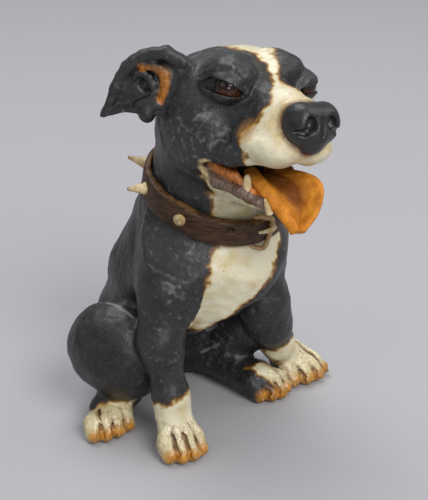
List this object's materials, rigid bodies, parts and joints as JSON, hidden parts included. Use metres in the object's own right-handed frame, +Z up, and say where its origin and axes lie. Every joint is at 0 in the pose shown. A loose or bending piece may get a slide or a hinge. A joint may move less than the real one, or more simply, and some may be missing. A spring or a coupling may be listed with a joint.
{
  "type": "seated dog figure",
  "caption": "Free-standing seated dog ornament in glazed ceramic: hollow torso and head, folded ears, open mouth with hanging tongue, splayed paws and a studded buckle collar.",
  "frame": {"origin": "middle of the flat seat under the rump, on the surface the figure stands on", "axes": "+Z up, the dog faces -Y and its left side is +X"},
  "size_m": [0.1962, 0.2457, 0.2989],
  "materials": {
    "body_glaze": "satin charcoal-black glaze, brushed and scuffed",
    "white_glaze": "cream-white glaze with brown speckle",
    "nose_glaze": "satin black glaze",
    "eye_glaze": "glossy dark-brown glaze",
    "mouth_stain": "ochre and brown stain",
    "tongue_stain": "orange-brown stain, dry",
    "bone_glaze": "ivory glaze with brown tips",
    "claw_stain": "amber-brown stain",
    "collar_stain": "dark brown stain, leather look"
  },
  "bodies": {
    "root": {"torso": "body_glaze", "head": "body_glaze", "right_eye": "eye_glaze", "left_eye": "eye_glaze", "nose": "nose_glaze", "lower_jaw": "mouth_stain", "tongue": "tongue_stain", "lower_teeth": "bone_glaze", "right_ear": "body_glaze", "left_ear": "body_glaze", "collar_strap": "collar_stain", "collar_spikes": "bone_glaze", "buckle_frame": "bone_glaze", "buckle_prong": "bone_glaze", "right_foreleg": "body_glaze", "left_foreleg": "body_glaze", "right_forepaw": "white_glaze", "left_forepaw": "white_glaze", "right_hind_leg": "body_glaze", "left_hind_leg": "body_glaze", "right_hind_paw": "white_glaze", "left_hind_paw": "white_glaze", "right_forepaw_claws": "claw_stain", "left_forepaw_claws": "claw_stain", "right_hind_paw_claws": "claw_stain", "left_hind_paw_claws": "claw_stain", "tail": "body_glaze"}
  },
  "joints": []
}
